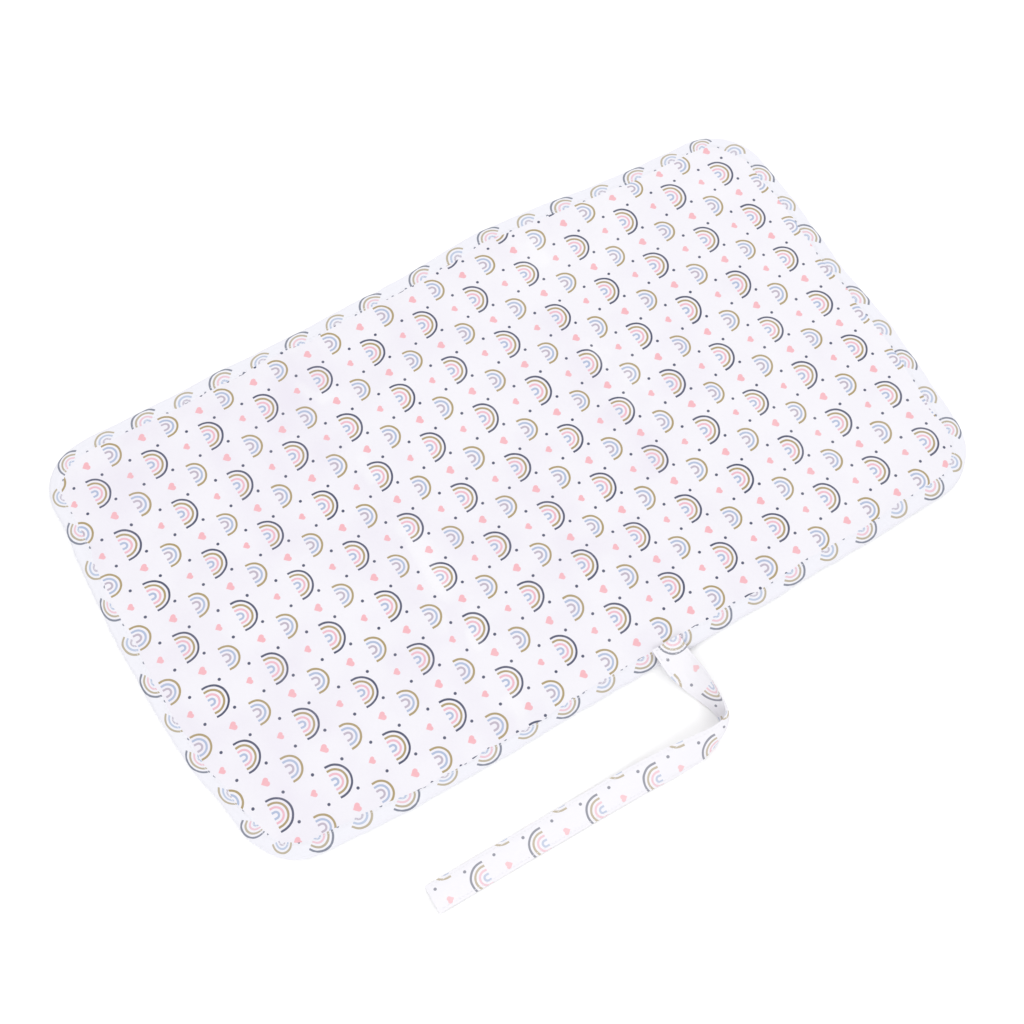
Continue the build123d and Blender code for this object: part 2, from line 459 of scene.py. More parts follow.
def slab(top, bottom, faces):
    """Closed solid between two copies of one net: points, faces and the sharp edges of its rim."""
    n = len(top)
    rim = rim_edges(faces)
    out = [list(f) for f in faces] + [[v + n for v in reversed(f)] for f in faces]
    out += [[b, a, a + n, b + n] for a, b in rim]
    sharp = [(a, b) for a, b in rim] + [(a + n, b + n) for a, b in rim]
    return np.concatenate([top, bottom]), out, sharp


def grid_faces(rows, cols, start=0):
    """The four-sided faces of a net of rows by cols points, numbered from start."""
    corners = (0, 1, cols + 1, cols)
    return [[start + r * cols + c + k for k in corners] for r in range(rows - 1) for c in range(cols - 1)]


def half_outline(step, side):
    """Rows along the outline of one half, from the front middle round to the back middle: x and y of the
    place CORNER mm inside the outline, and the direction out."""
    half_x, half_y = (X1 - X0) / 2 - CORNER, (Y1 - Y0) / 2 - CORNER
    n_x, n_arc, n_y = (round(v / step) for v in (half_x, CORNER * math.pi / 2, 2 * half_y))
    rows = []
    for k in range(n_x):
        rows.append((half_x * k / n_x, -half_y, 0, -1))
    for k in range(n_arc):
        a = math.pi / 2 * k / n_arc
        rows.append((half_x, -half_y, math.sin(a), -math.cos(a)))
    for k in range(n_y):
        rows.append((half_x, -half_y + 2 * half_y * k / n_y, 1, 0))
    for k in range(n_arc):
        a = math.pi / 2 * k / n_arc
        rows.append((half_x, half_y, math.cos(a), math.sin(a)))
    for k in range(n_x + 1):
        rows.append((half_x * (1 - k / n_x), half_y, 0, 1))
    rows = np.array(rows, float)
    rows[:, [0, 2]] *= side
    return rows


def half_net(side, edge, step):
    """Points and faces over one half of the mat, from edge mm inside the outline to the middle line."""
    line = half_outline(step, side)
    rings = np.linspace(CORNER, edge, round((CORNER - edge) / step) + 1)
    points, faces = [], []
    for d in rings:
        points.append(line[:, :2] + line[:, 2:] * (CORNER - d))
    faces += grid_faces(len(rings), len(line))
    half_x, half_y = (X1 - X0) / 2 - CORNER, (Y1 - Y0) / 2 - CORNER
    n_x, n_y = round(half_x / step), round(2 * half_y / step)
    gx, gy = np.meshgrid(np.linspace(0, half_x * side, n_x + 1), np.linspace(-half_y, half_y, n_y + 1))
    faces += [f[::-1] for f in grid_faces(n_y + 1, n_x + 1, len(rings) * len(line))]
    points.append(np.stack([gx.ravel(), gy.ravel()], 1))
    points = np.concatenate(points)
    _, first, place = np.unique(np.round(points, 3), axis=0, return_index=True, return_inverse=True)
    place = place.ravel()
    points = points[first]
    tidy = []
    for f in faces:
        g = []
        for v in (int(place[k]) for k in f):
            if v not in g:
                g.append(v)
        if len(g) > 2:
            tidy.append(g)
    p = points[np.array([f[:3] for f in tidy])]
    up = np.cross(p[:, 1] - p[:, 0], p[:, 2] - p[:, 0])
    return points, [f if u > 0 else f[::-1] for f, u in zip(tidy, up)]


# ---------------------------------------------------------------- the loose cover, simulated
SHEET_INSET, SHEET_STEP = 11, 6.0       # how far inside the outline the sheet starts, and its grid, mm
SHEET_FRAMES = 26
SWELL_CAP = 1.5                         # the simulated height stays under this, mm


def simulate_cover():
    """Heights of a slightly oversize cloth, held along the binding and the creases and lightly elsewhere."""
    def stations(lo, hi):
        count = round((hi - lo - 2 * SHEET_INSET) / SHEET_STEP) + 1
        return np.linspace(lo + SHEET_INSET, hi - SHEET_INSET, count)

    xs, ys = stations(X0, X1), stations(Y0, Y1)
    gx, gy = np.meshgrid(xs, ys)
    seed = 0.5 * soft_noise(gx, gy, 30, 101) + 0.25 * soft_noise(gx, gy, 13, 102)
    me = bpy.data.meshes.new("cover_cloth")
    me.from_pydata((np.column_stack([gx.ravel(), gy.ravel(), seed.ravel()]) * MM).tolist(), [],
                   grid_faces(len(ys), len(xs)))
    obj = bpy.data.objects.new("cover_cloth", me)
    bpy.context.collection.objects.link(obj)
    hold = smooth(-inset(gx, gy), -19, -13)
    for c in CREASES:
        hold = np.maximum(hold, 0.8 * np.exp(-((gx - c) / 4) ** 2) * (soft_noise(gy, c, 40, 103) > -0.4))
    hold = np.maximum(hold, 0.03)
    group = obj.vertex_groups.new(name="held")
    for k, w in enumerate(hold.ravel()):
        group.add([k], float(w), "REPLACE")
    cloth = obj.modifiers.new("cloth", "CLOTH")
    cfg = cloth.settings
    cfg.quality, cfg.mass = 6, 0.2
    cfg.tension_stiffness = cfg.compression_stiffness = cfg.shear_stiffness = 12
    cfg.bending_stiffness = 1.0
    cfg.vertex_group_mass = "held"
    cfg.pin_stiffness = 3
    cfg.shrink_min = cfg.shrink_max = -0.002
    cfg.use_pressure, cfg.uniform_pressure_force = True, 0.02
    cfg.effector_weights.gravity = 0
    cloth.collision_settings.use_collision = False
    scene = bpy.context.scene
    scene.frame_start, scene.frame_end = 1, SHEET_FRAMES
    for f in range(1, SHEET_FRAMES + 1):
        scene.frame_set(f)
    done = obj.evaluated_get(bpy.context.evaluated_depsgraph_get()).to_mesh()
    z = np.empty(len(done.vertices) * 3)
    done.vertices.foreach_get("co", z)
    z = z.reshape(-1, 3)[:, 2].reshape(gx.shape) / MM
    scene.frame_set(1)
    bpy.data.objects.remove(obj)
    return xs, ys, SWELL_CAP * np.tanh(z / SWELL_CAP)


SHEET = simulate_cover()


def swell(x, y):
    """The simulated height at any place, by smooth interpolation."""
    xs, ys, z = SHEET
    fx = np.clip((x - xs[0]) / (xs[1] - xs[0]), 0, len(xs) - 1.001)
    fy = np.clip((y - ys[0]) / (ys[1] - ys[0]), 0, len(ys) - 1.001)

    def weights(f):
        i, t = np.floor(f).astype(int), f - np.floor(f)
        return i, ((1 - t) ** 3 / 6, (3 * t ** 3 - 6 * t ** 2 + 4) / 6,
                   (-3 * t ** 3 + 3 * t ** 2 + 3 * t + 1) / 6, t ** 3 / 6)

    ix, wx = weights(fx)
    iy, wy = weights(fy)
    total = 0
    for a in range(4):
        row = np.clip(iy + a - 1, 0, len(ys) - 1)
        for b in range(4):
            total = total + wy[a] * wx[b] * z[row, np.clip(ix + b - 1, 0, len(xs) - 1)]
    return total * smooth(inset(x, y), 10.5, 18)


# ---------------------------------------------------------------- the padded face's relief
FOLD_MARKS = [(84, 0.34, 21), (17, 0.26, 22), (-80, 0.30, 23)]      # y, height and seed of each
STRAP_X = 20                                                       # the strap's sewn end, mm


def relief(x, y):
    """Height of the padded face over its flat level, mm."""
    d = inset(x, y)
    z = 0.30 * soft_noise(x, y, 62, 1) + 0.16 * soft_noise(x, y, 27, 2) + 0.05 * soft_noise(x, y, 10, 3)
    near = np.full(np.shape(x), 1e9)
    for k, c in enumerate(CREASES):
        u = x - c + 1.5 * soft_noise(y, c, 38, 5) + 0.5 * soft_noise(y, c, 11, 15)
        near = np.minimum(near, np.abs(u))
        strong = 0.6 + 0.5 * soft_noise(y, c, 24, 6 + k)
        z -= 0.34 * strong * np.exp(-(u / 2.2) ** 2)
        z += 0.34 * np.exp(-((np.abs(u) - 5.0) / 3.2) ** 2) * (0.4 + 1.1 * soft_noise(x, y, 17, 8 + k))
        z += 0.62 * soft_noise(x, y, 15, 10 + k) * np.exp(-(u / 14) ** 2)
    z += 0.7 * (1 - np.exp(-np.maximum(d - 14, 0) / 22)) * (1 - np.exp(-near / 16))
    for level, size, seed in FOLD_MARKS:
        v = y - level + 3.0 * soft_noise(x, level, 80, seed)
        share = smooth(soft_noise(x, level, 46, seed + 5), -0.35, 0.6)
        z += size * share * (np.exp(-(v / 1.6) ** 2) - 0.55 * np.exp(-((v - 4.5) / 3.0) ** 2))
    v = x - 200 + 2 * soft_noise(y, 0, 60, 31)
    share = smooth(soft_noise(y, 9, 50, 32), -0.2, 0.6)
    z += 0.18 * share * (np.exp(-(v / 1.8) ** 2) - np.exp(-((v - 5) / 3) ** 2))
    # the cloth pulls toward the sewn end of the strap
    sx, sy = x - STRAP_X, y + 158
    reach, angle = np.hypot(sx, sy), np.arctan2(sx, sy)
    pull = np.exp(-(reach / 34) ** 2) * smooth(reach, 2, 12)
    z += 0.42 * pull * np.sin(angle * 7 + 1.2 * soft_noise(x, y, 20, 41))
    # a short sharp crease near the back of the left panel
    sharp = y - 78 + 0.10 * (x + 176)
    z += 0.55 * np.exp(-(sharp / 1.2) ** 2) * smooth(x, -206, -196) * smooth(-x, 148, 158)
    return z * smooth(d, 10.5, 22)


def rim_wave(s, d):
    """Gathers in the cloth beside the bound edge: s along the edge, d in from it, mm."""
    pitch = 9.5 + 2.5 * soft_noise(s, 0, 120, 51)
    wave = np.sin(2 * np.pi * (s + 0.7 * d) / pitch + 2.0 * soft_noise(s, 5, 60, 52))
    return wave * (0.55 + 0.45 * soft_noise(s, 3, 35, 53))


def along_rim(x, y):
    """Roughly how far along the outline a point near it is."""
    return np.arctan2(y / (Y1 - Y0), x / (X1 - X0)) * 290


CORE_TOP, CLOTH = 4.1, 0.5      # the cover's height beside the binding, and the cloth's thickness, mm
RIM_DROP = 0.7                  # the padding is pressed thin toward the bound edge


def rim_drop(d):
    return RIM_DROP * (1 - smooth(d, 2.5, 10))


def under_strap(x, y):
    """1 where the strap's sewn end presses the edge flat."""
    return np.exp(-((x - STRAP_X) / 15) ** 6) * smooth(-y, 150, 160)


def top_level(x, y):
    """Height of the cover's upper face."""
    d = inset(x, y)
    lift = (THICK - CORE_TOP) * smooth(d, 11, 20)
    gathers = 0.30 * rim_wave(along_rim(x, y), d) * np.exp(-(np.maximum(d - 12, 0) / 7) ** 2)
    gathers = gathers * smooth(d, 8, 12)
    return CORE_TOP - rim_drop(d) + lift + relief(x, y) + gathers * (1 - under_strap(x, y)) + swell(x, y)


def back_level(x, y):
    """Height of the back cloth's lower face."""
    d = inset(x, y)
    sag = 0.18 * (1 + soft_noise(x, y, 26, 61)) * smooth(d, 13, 26)
    return CLOTH + 0.25 - (CLOTH + 0.2) * smooth(d, 13, 20) + sag


def layer(name, side, edge, step, upper, lower, mat, nodes, print_it=False, back=False):
    """One half of a layer of the mat: a closed slab between two heights, ending edge mm in."""
    points, faces = half_net(side, edge, step)
    x, y = points.T
    wx, wy = warp(x, y)
    top, bottom = (np.column_stack([wx, wy, f(x, y)]) for f in (upper, lower))
    all_points, all_faces, sharp = slab(top, bottom, faces)
    flat = np.column_stack([y if not back else -y, x, np.zeros(len(x))])
    tone = None
    if print_it:
        flat = print_flat(wx, wy)
        # painted light and shade of the folds for the printed face
        tone = np.tile(painted_fold_light_and_shade(x, y), 2)
    obj = mesh_piece(name, all_points, all_faces, mat, np.concatenate([flat, flat]), sharp, tone)
    fold(obj, side)
    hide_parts(*nodes)
    return obj


def painted_fold_light_and_shade(x, y):
    """Painted light and shade on the printed face: painted highlight patches on the +X side of each pressed
    fold, painted shade on its -X side, a painted shadow round the strap's sewn end and painted light that
    grows toward +X, over random paler and deeper tone.
    """
    # random paler and deeper tone, plus painted light that grows toward +X, as if lit from that side
    tone = 0.20 * soft_noise(x, y, 42, 111) + 0.20 * soft_noise(x, y, 16, 112) + 0.0006 * x
    for k, c in enumerate(CREASES):
        u = x - c + 2.5 * soft_noise(y, c, 33, 113)
        # painted highlight in patches on the +X side of each fold
        painted_highlight_patch = smooth(soft_noise(x * 1.6, y, 24, 114 + k) + 0.5 * soft_noise(x, y, 9, 116 + k), 0.0, 0.75)
        tone += 0.75 * painted_highlight_patch * np.exp(-((u - 7) / 12) ** 2)
        # painted shade in patches on the -X side of each fold
        shade = smooth(soft_noise(x, y, 40, 118 + k), -0.5, 0.5)
        tone -= (0.36 if k else 0.2) * np.exp(-((u + 14) / 13) ** 2) * shade
    # painted shadow round the strap's sewn end
    reach = np.hypot(x - 12, y + 156)
    tone -= 0.45 * np.exp(-(reach / 13) ** 2)
    return tone


def print_flat(x, y):
    """The print stands with its up along +X and its right along -Y, on cloth that lies a little askew."""
    x = x + 0.9 * soft_noise(x, y, 75, 91) + 0.4 * soft_noise(x, y, 30, 92)
    y = y + 0.9 * soft_noise(x, y, 80, 93) + 0.4 * soft_noise(x, y, 28, 94)
    return np.column_stack([-y, x, np.zeros(np.shape(x))])


FOLD_BANDS = {-1: ("left_panel", "middle_panel", 8), 1: ("middle_panel", "right_panel", 10)}


def fold(obj, side):
    """Bakes a piece's placement into its mesh; the crease and a band a few mm to each side of it are looked
    up, but the piece is not bent.
    """
    first, second, reach = FOLD_BANDS[side]
    crease = CREASES[0] if side < 0 else CREASES[1]
    (crease - reach) * MM
    (crease + reach) * MM
    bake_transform(obj)


# ---------------------------------------------------------------- binding
BINDING_WIDE = 11.2         # mm of it that shows on top
BIAS = math.sqrt(0.5)       # the tape is cut at 45 degrees to the cloth


def binding_profile():
    """Outer face of the folded binding from its inner edge on top, round the rim, to its inner edge below:
    inset, height, how far the edge is tucked down, and 1 above, 0.5 round the rim or 0 below."""
    rows = [(BINDING_WIDE - a, THICK, b, 1) for a, b in ((0, 0.50), (0.45, 0.36), (1.0, 0.20), (1.6, 0.07))]
    rows += [(d, THICK, 0, 1) for d in np.linspace(BINDING_WIDE - 2.2, 2.4, 11)]
    mid, nose = (THICK - RIM_DROP) / 2, 2.1
    for a in np.linspace(math.pi / 2, -math.pi / 2, 13)[1:-1]:
        rows.append((nose - nose * math.cos(a), mid + mid * math.sin(a), 0, 0.5))
    rows += [(d, 0.0, 0, 0) for d in np.linspace(2.4, BINDING_WIDE, 12)]
    return np.array(rows)


def binding_top(x, y, d, key):
    """Height of the binding's upper face."""
    gather = rim_wave(key, d)
    puff = np.exp(-((d - 5.8) / 3.0) ** 2) * 0.10 - 0.16 * np.exp(-((d - 9.4) / 0.9) ** 2)
    fine = (soft_noise(key + 0.8 * d, d, 5.5, 75) * 0.12
            + 0.30 * soft_noise(key + 1.1 * d, 0, 21, 77) * smooth(d, 3, 8))
    flat = 1 - under_strap(x, y)
    free = THICK - rim_drop(d) + (0.20 * gather * smooth(d, 3, 8) + fine) * flat * smooth(d, 1.5, 5)
    laid = top_level(x, y) + CLOTH
    share = smooth(d, 6.2, 10.2)
    return free * (1 - share) + laid * share + puff * (0.35 + 0.65 * flat)


def seam_shift(line, key):
    """How much wider, mm, the binding's upper side is at each place; it is narrower at the front and left."""
    lean = smooth(-line[:, 0] - line[:, 1] * 0.8, 60, 160)
    return 1.3 * soft_noise(key, 0, 19, 73) + 0.5 * soft_noise(key, 0, 6, 74) - 1.6 * lean


def binding(side, mat, nodes):
    line = half_outline(1.9, side)
    base = binding_profile()
    n, m = len(line), len(base)
    mid = line[:, :2] + line[:, 2:] * (CORNER - 6)
    s = np.concatenate([[0], np.cumsum(np.hypot(*np.diff(mid, axis=0).T))])
    key = along_rim(*(line[:, :2] + line[:, 2:] * (CORNER - 7)).T)
    out = 0.7 * soft_noise(key, 0, 33, 71) + 0.35 * soft_noise(key, 0, 10, 72) + 0.3
    inner = seam_shift(line, key)
    d = np.tile(base[:, 0], (n, 1))
    upper, round_ = base[:, 3] == 1, base[:, 3] == 0.5
    share = np.clip(d / BINDING_WIDE, 0, 1)
    d = d + out[:, None] * (1 - share) + inner[:, None] * share ** 2 * upper
    keys = key[:, None] * np.ones(m)
    xy = line[:, None, :2] + line[:, None, 2:] * (CORNER - d)[:, :, None]
    z = np.tile(base[:, 1], (n, 1))
    laid = binding_top(xy[..., 0], xy[..., 1], base[:, 0] * np.ones((n, 1)), keys)
    z = np.where(upper, laid - base[:, 2], z)
    z = z + (~upper & ~round_) * smooth(d, 2, 6) * (0.30 + 0.10 * rim_wave(keys, d))
    cross = np.gradient(d, axis=1), np.gradient(z, axis=1)
    size = np.hypot(*cross)
    nd, nz = cross[1] / size, -cross[0] / size          # out of the outer face
    din, zin = d - nd * CLOTH * 0.8, z - nz * CLOTH * 0.8

    def place(dd, zz):
        xy = line[:, None, :2] + line[:, None, 2:] * (CORNER - dd)[:, :, None]
        xy = np.stack(warp(xy[..., 0], xy[..., 1]), -1)
        return np.concatenate([xy, zz[:, :, None]], 2).reshape(-1, 3)

    outer, inside = place(d, z), place(din, zin)
    faces = grid_faces(n, m)
    p = outer[np.array(faces[0][:3])]
    if np.dot(np.cross(p[1] - p[0], p[2] - p[0]), (0, 0, 1)) < 0:
        faces = [f[::-1] for f in faces]
    points, all_faces, sharp = slab(outer, inside, faces)
    girth = np.concatenate([[0], np.cumsum(np.hypot(np.diff(base[:, 0]), np.diff(base[:, 1])))])
    along = np.repeat(s * side, m)
    across = np.tile(girth, n)
    flat = np.column_stack([(along - across) * BIAS, (along + across) * BIAS, np.zeros(n * m)])
    obj = mesh_piece("binding_tape_" + ("left" if side < 0 else "right"), points, all_faces, mat,
                     np.concatenate([flat, flat]), sharp)
    fold(obj, side)
    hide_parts(*nodes)
    return obj, line, key, (girth[-1] * MM, s[-1] * MM)


# ---------------------------------------------------------------- stitches
def stitches(name, middles, heads, ups, length, radius, mat):
    """Short rounded runs of thread, each dipping into the cloth at both ends."""
    t = np.linspace(-1, 1, 7)
    ring = np.linspace(0, 2 * math.pi, 6, endpoint=False)
    points, faces, flat = [], [], []
    side = np.cross(ups, heads)
    for k in range(len(middles)):
        base = k * (len(t) * len(ring) + 2)
        rows = []
        for u in t:
            r = radius * math.sqrt(max(1 - abs(u) ** 4, 0.12))
            sink = -radius * 1.5 * u ** 4
            c = middles[k] + heads[k] * (u * length / 2) + ups[k] * (sink + radius * 0.35)
            for a in ring:
                rows.append(c + side[k] * (math.cos(a) * r) + ups[k] * (math.sin(a) * r))
        rows.append(middles[k] - heads[k] * (length / 2 + radius * 0.5) - ups[k] * radius * 1.4)
        rows.append(middles[k] + heads[k] * (length / 2 + radius * 0.5) - ups[k] * radius * 1.4)
        points += rows
        w = len(ring)
        for i in range(len(t) - 1):
            for j in range(w):
                here, beyond = base + i * w, base + (i + 1) * w
                faces.append([here + j, here + (j + 1) % w, beyond + (j + 1) % w, beyond + j])
        first, last = base + len(t) * w, base + len(t) * w + 1
        for j in range(w):
            faces.append([first, base + (j + 1) % w, base + j])
            faces.append([last, base + (len(t) - 1) * w + j, base + (len(t) - 1) * w + (j + 1) % w])
        flat += [(u * length / 2 + k, math.cos(a) * radius, 0) for u in t for a in ring]
        flat += [(k, 0, 0)] * 2
    return mesh_piece(name, np.array(points), faces, mat, np.array(flat))


def spaced(points, ups, pitch):
    """Stitch middles, headings and up directions at even spacing along a line of points."""
    seg = np.linalg.norm(np.diff(points, axis=0), axis=1)
    s = np.concatenate([[0], np.cumsum(seg)])
    at = np.arange(pitch / 2, s[-1] - pitch / 2 + 1e-6, pitch)

    def inter(q, v):
        return np.column_stack([np.interp(q, s, v[:, k]) for k in range(3)])

    mid = inter(at, points)
    head = inter(at + 0.4, points) - inter(at - 0.4, points)
    head /= np.linalg.norm(head, axis=1)[:, None]
    up = inter(at, ups)
    up -= head * np.sum(up * head, axis=1)[:, None]
    up /= np.linalg.norm(up, axis=1)[:, None]
    return mid, head, up


# ---------------------------------------------------------------- the strap
# x, y of the middle line, height of the lower edge over the floor, turn of the ribbon (deg), half width
STRAP = np.array([
    (20.0, -163.8, 4.75, 0, 11.3), (20.0, -170.0, 4.75, 0, 11.3), (20.0, -176.0, 4.7, 1, 11.2),
    (20.8, -183.0, 3.6, 9, 11.1), (22.8, -191.5, 1.7, 24, 10.8), (25.9, -203.0, 0.3, 42, 10.2),
    (28.6, -214.0, 0.0, 57, 9.4), (29.4, -222.5, 0.0, 68, 8.8), (28.0, -229.0, 0.0, 79, 8.6),
    (23.6, -234.0, 0.0, 92, 8.8), (17.0, -237.2, 0.0, 108, 9.4), (9.0, -239.0, 0.0, 126, 10.0),
    (-1.0, -238.6, 0.0, 140, 10.3), (-12.0, -237.2, 0.0, 150, 10.3), (-26.0, -235.8, 0.0, 160, 10.3),
    (-45.0, -234.0, 0.05, 170, 10.2), (-72.0, -233.0, 0.15, 176, 10.2), (-110.0, -232.4, 0.1, 179, 10.2),
    (-150.0, -231.8, 0.1, 180, 10.2), (-204.0, -231.2, 0.0, 180, 10.2)])
STRAP_HALF_THICK = 0.55
STRAP_CUT = 6.0             # how far the strap's middle lies from a column of the larger arches, mm


def spline(knots, t):
    """Catmull-Rom curve through the rows of knots."""
    k = np.clip(np.floor(t).astype(int), 0, len(knots) - 2)
    f = (t - k)[:, None]
    p = np.vstack([2 * knots[0] - knots[1], knots, 2 * knots[-1] - knots[-2]])
    a, b, c, d = (p[k + j] for j in range(4))
    bend, twist = 2 * a - 5 * b + 4 * c - d, 3 * b - a - 3 * c + d
    return 0.5 * (2 * b + (c - a) * f + bend * f ** 2 + twist * f ** 3)


def strap_path():
    t = np.linspace(0, len(STRAP) - 1, 4000)
    rows = spline(STRAP, t)
    s = np.concatenate([[0], np.cumsum(np.hypot(*np.diff(rows[:, :2], axis=0).T))])
    return s, rows


STRAP_S, STRAP_ROWS = strap_path()
STRAP_LENGTH = STRAP_S[-1]


def strap_surface(s, t):
    """Middle surface and face normal of the strap: s along it, t from -1 to 1 across it."""
    s, t = np.broadcast_arrays(s, t)
    x, y, low, turn, half = (np.interp(s, STRAP_S, STRAP_ROWS[:, k]) for k in range(5))
    step = 1.0
    hx = np.interp(s + step, STRAP_S, STRAP_ROWS[:, 0]) - np.interp(s - step, STRAP_S, STRAP_ROWS[:, 0])
    hy = np.interp(s + step, STRAP_S, STRAP_ROWS[:, 1]) - np.interp(s - step, STRAP_S, STRAP_ROWS[:, 1])
    size = np.hypot(hx, hy)
    hx, hy = hx / size, hy / size
    left = np.stack([-hy, hx, np.zeros_like(hx)], -1)
    turn = np.radians(turn)
    up = np.array([0, 0, 1.0])
    across = np.cos(turn)[..., None] * left + np.sin(turn)[..., None] * up
    face = -np.sin(turn)[..., None] * left + np.cos(turn)[..., None] * up
    stand = np.sin(turn) ** 2
    bend = 1 / (7.6 + 30 * (1 - stand) ** 2)                    # the ribbon curls where it stands on edge
    w = half * t
    u = np.sin(w * bend) / bend
    v = (1 - np.cos(w * bend)) / bend
    offset = across * u[..., None] + face * v[..., None]
    # where the whole width's lowest point would be
    q = np.linspace(-1, 1, 21)
    uu = np.sin(half[..., None] * q * bend[..., None]) / bend[..., None]
    vv = (1 - np.cos(half[..., None] * q * bend[..., None])) / bend[..., None]
    zz = across[..., 2][..., None] * uu + face[..., 2][..., None] * vv
    z = low + STRAP_HALF_THICK + 0.1 - zz.min(-1)
    ripple = 0.34 * soft_noise(s, w * 1.4, 9, 81) + 0.20 * soft_noise(s + w, w, 4.5, 82)
    ripple = ripple * smooth(s, 13, 26) + 0.5 * np.cos(t * math.pi / 2) * smooth(s, 60, 100) * 0.6
    flip = np.where(turn > math.pi / 2, -1.0, 1.0)
    centre = np.stack([x, y, z], -1)
    return centre + offset + face * (np.abs(ripple) * flip * 0.8)[..., None]


def strap_normals(s, t):
    e = 0.3
    a = strap_surface(s + e, t) - strap_surface(s - e, t)
    half = 10.4
    b = strap_surface(s, t + e / half) - strap_surface(s, t - e / half)
    n = np.cross(a, b)
    return n / np.linalg.norm(n, axis=-1)[..., None]


def strap_piece(name, s0, s1, mat):
    n = max(int((s1 - s0) / 1.1), 8)
    s = np.linspace(s0, s1, n + 1)
    t = np.linspace(-1, 1, 21)
    ss, tt = np.meshgrid(s, t, indexing="ij")
    mid, face = strap_surface(ss, tt), strap_normals(ss, tt)
    edge = np.sqrt(np.clip(1 - np.abs(tt) ** 8, 0.15, 1))
    seam = 1 - 0.35 * np.exp(-((np.abs(tt) - 0.8) / 0.05) ** 2)
    thick = STRAP_HALF_THICK * edge * seam
    one = (mid + face * thick[..., None]).reshape(-1, 3)
    two = (mid - face * thick[..., None]).reshape(-1, 3)
    faces = grid_faces(n + 1, len(t))
    c = one[np.array(faces[0][:3])]
    if np.dot(np.cross(c[1] - c[0], c[2] - c[0]), face[0, 0]) < 0:
        faces = [f[::-1] for f in faces]
    points, all_faces, sharp = slab(one, two, faces)
    half = 10.6 * tt.ravel()
    flat_one = np.column_stack([STRAP_CUT - half, ss.ravel(), np.zeros(ss.size)])
    flat_two = np.column_stack([STRAP_CUT + half, ss.ravel(), np.zeros(ss.size)])
    flat = np.concatenate([flat_one, flat_two])
    return mesh_piece(name, points, all_faces, mat, flat, sharp)


# ---------------------------------------------------------------- the whole mat
COVER_EDGE, LINER_EDGE, CORE_EDGE = 2.8, 4.0, 4.6       # how far inside the outline each layer ends, mm
SEAM_INSET, SEAM_PITCH = 9.4, 3.1                       # the binding's seam, mm
SIDE_WORDS = {-1: ("left", "front"), 1: ("right", "back")}


def floor():
    mat, tree, bsdf = shader("floor_paper", 0.9, Specular_IOR_Level=0.2)
    where = add(tree, "ShaderNodeTexCoord").outputs["Object"]
    tone = noise(tree, Num(tree, where), 3.0, 2.0) * 0.02 + 0.5
    colour = mix(tree, tone.clip(), (0.965, 0.965, 0.97, 1), (0.98, 0.98, 0.98, 1))
    plug(tree, colour, bsdf.inputs["Base Color"])
    me = bpy.data.meshes.new("floor")
    me.from_pydata([(-6, -6, 0), (6, -6, 0), (6, 6, 0), (-6, 6, 0)], [], [(0, 1, 2, 3)])
    me.materials.append(mat)
    obj = bpy.data.objects.new("floor", me)
    bpy.context.collection.objects.link(obj)


def joined(rows):
    """The middles, headings and up directions of several rows of stitches, each as one list."""
    return (np.concatenate(v) for v in zip(*rows))


def binding_seam(side, line, key, thread):
    """The stitches that hold one half of the binding, above and below."""
    word, mids = SIDE_WORDS[side]
    rows = []
    for up, z0 in ((1.0, THICK), (-1.0, 0.30)):
        inner = SEAM_INSET + 0.72 * seam_shift(line, key)
        if up < 0:
            inner = np.full(len(key), SEAM_INSET)
        xy = line[:, :2] + line[:, 2:] * (CORNER - inner)[:, None]
        z = binding_top(*xy.T, np.full(len(key), SEAM_INSET), key) if up > 0 else np.full(len(xy), z0)
        pts = np.column_stack([*warp(*xy.T), z])
        rows.append(spaced(pts, np.tile([0, 0, up], (len(pts), 1)), SEAM_PITCH))
    obj = stitches(f"binding_seam_{word}", *joined(rows), 2.35, 0.16, thread)
    fold(obj, side)
    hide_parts(f"binding_stitch_{word}", f"binding_stitch_middle_{mids}")
    return obj


def half_mat(side, cover, tape, backing, wadding, liner, thread):
    """The layers and the bound edge of one half; the middle panel's layers are counted with the left half."""
    word, mids = SIDE_WORDS[side]

    def owned(base):
        return [f"{base}_{word}"] + ([f"{base}_middle"] if side < 0 else [])

    def under_cover(depth):
        return lambda x, y: top_level(x, y) - CLOTH - depth

    def over_back(x, y):
        return back_level(x, y) + CLOTH

    face = layer(f"printed_cover_{word}", side, COVER_EDGE, 2.5, top_level, under_cover(0), cover,
                 owned("top_cover"), print_it=True)
    under = layer(f"liner_film_{word}", side, LINER_EDGE, 5.0, under_cover(0.03), under_cover(0.25), liner,
                  owned("waterproof_liner"))
    core = layer(f"wadding_sheet_{word}", side, CORE_EDGE, 5.0, under_cover(0.28),
                 lambda x, y: back_level(x, y) + CLOTH + 0.03, wadding, owned("wadding"))
    back = layer(f"back_cloth_{word}", side, COVER_EDGE, 5.0, over_back, back_level, backing,
                 owned("back_cover"), back=True)
    tape_obj, line, key, cut = binding(side, tape, [f"binding_{word}", f"binding_middle_{mids}"])
    seam = binding_seam(side, line, key, thread)
    for sheet, edge in ((face, COVER_EDGE), (under, LINER_EDGE), (back, COVER_EDGE)):
        size = ((X1 - X0) / 2 * MM - edge * MM, (Y1 - Y0) * MM - 2 * edge * MM)


def strap_edge_seam(name, s0, s1, node, thread):
    """Stitches along both edges of the strap, on both faces, from s0 to s1."""
    rows = []
    for t in (-0.8, 0.8):
        s = np.linspace(s0, s1, int((s1 - s0) / 0.8))
        mid, face = strap_surface(s, t), strap_normals(s, t)
        for sign in (1, -1):
            rows.append(spaced(mid + face * sign * STRAP_HALF_THICK * 0.62, face * sign, 2.9))
    obj = stitches(name, *joined(rows), 2.2, 0.17, thread)
    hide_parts(node)
    return obj


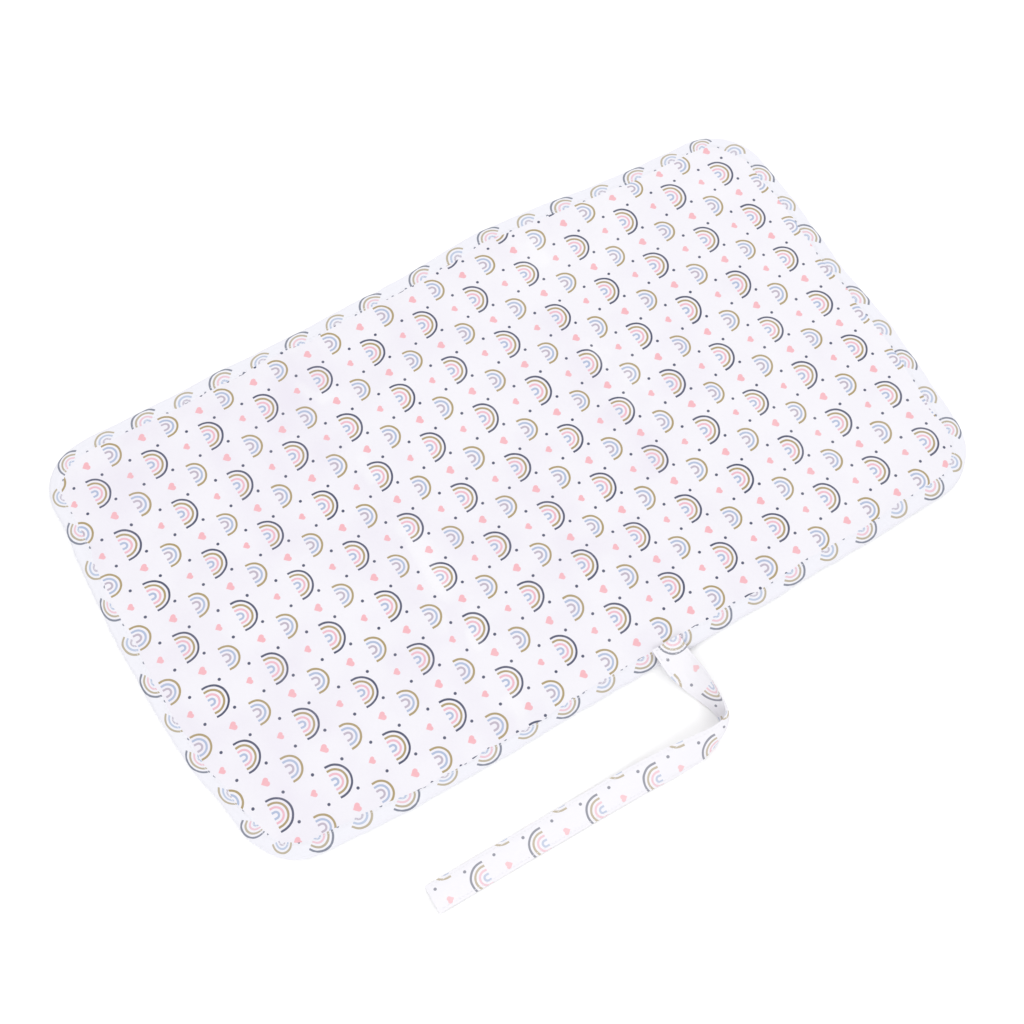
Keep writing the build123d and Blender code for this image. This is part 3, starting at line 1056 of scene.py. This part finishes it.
def strap_box_seam(thread):
    """The boxed cross that holds the sewn end."""
    box = [(-9.2, 1.6), (9.2, 1.6), (9.2, 10.4), (-9.2, 10.4),
           (-9.2, 1.6), (9.2, 10.4), (9.2, 1.6), (-9.2, 10.4)]
    rows = []
    for (xa, sa), (xb, sb) in zip(box[:-1], box[1:]):
        k = np.linspace(0, 1, 40)
        s, t = sa + (sb - sa) * k, (xa + (xb - xa) * k) / 11.3
        mid, face = strap_surface(s, t), strap_normals(s, t)
        face = face * np.sign(face[:, 2:3])
        rows.append(spaced(mid + face * STRAP_HALF_THICK * 0.98, face, 2.6))
    obj = stitches("strap_box_seam", *joined(rows), 2.0, 0.17, thread)
    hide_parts("strap_box_stitch")
    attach(obj, "middle_panel")


def strap(ribbon, thread):
    """The strap, in two pieces that meet where the ribbon stands on edge."""
    neck = float(np.interp(9.0, np.linspace(0, len(STRAP) - 1, 4000), STRAP_S))

    def lift(obj):
        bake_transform(obj)

    def unfold(obj):
        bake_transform(obj)

    near = strap_piece("strap_lead", 0.0, neck, ribbon)
    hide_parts("strap_root", "strap_near")
    lift(near)
    free = strap_piece("strap_tail", neck, STRAP_LENGTH, ribbon)
    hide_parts("strap_free")
    unfold(free)
    for sheet, name, s0, s1, node, more, move in (
            (near, "strap_lead_seam", 12.5, neck - 1, "strap_near_stitch", 13.5, lift),
            (free, "strap_tail_seam", neck + 1, STRAP_LENGTH - 2, "strap_free_stitch", 3, unfold)):
        seam = strap_edge_seam(name, s0, s1, node, thread)
        (s1 - s0 + more) * MM
        move(seam)
    strap_box_seam(thread)


def build():
    camera()
    studio()
    floor()
    group = print_group()
    cover = printed_cloth("printed_cotton", group, paint(246, 244, 251), 0.0, 0.05)
    tape = printed_cloth("binding_cotton", group, paint(238, 246, 255), 0.2, 0.05)
    ribbon = printed_cloth("strap_cotton", group, (0.95, 0.95, 0.965, 1), 0.24, 0.05)
    backing = plain_cloth("backing_cloth", paint(243, 243, 246), paint(226, 227, 233), 0.6, 0.7, 0.1)
    wadding, liner, thread = wadding_cloth(), film(), thread_cloth()
    for side in (-1, 1):
        half_mat(side, cover, tape, backing, wadding, liner, thread)
    strap(ribbon, thread)


build()
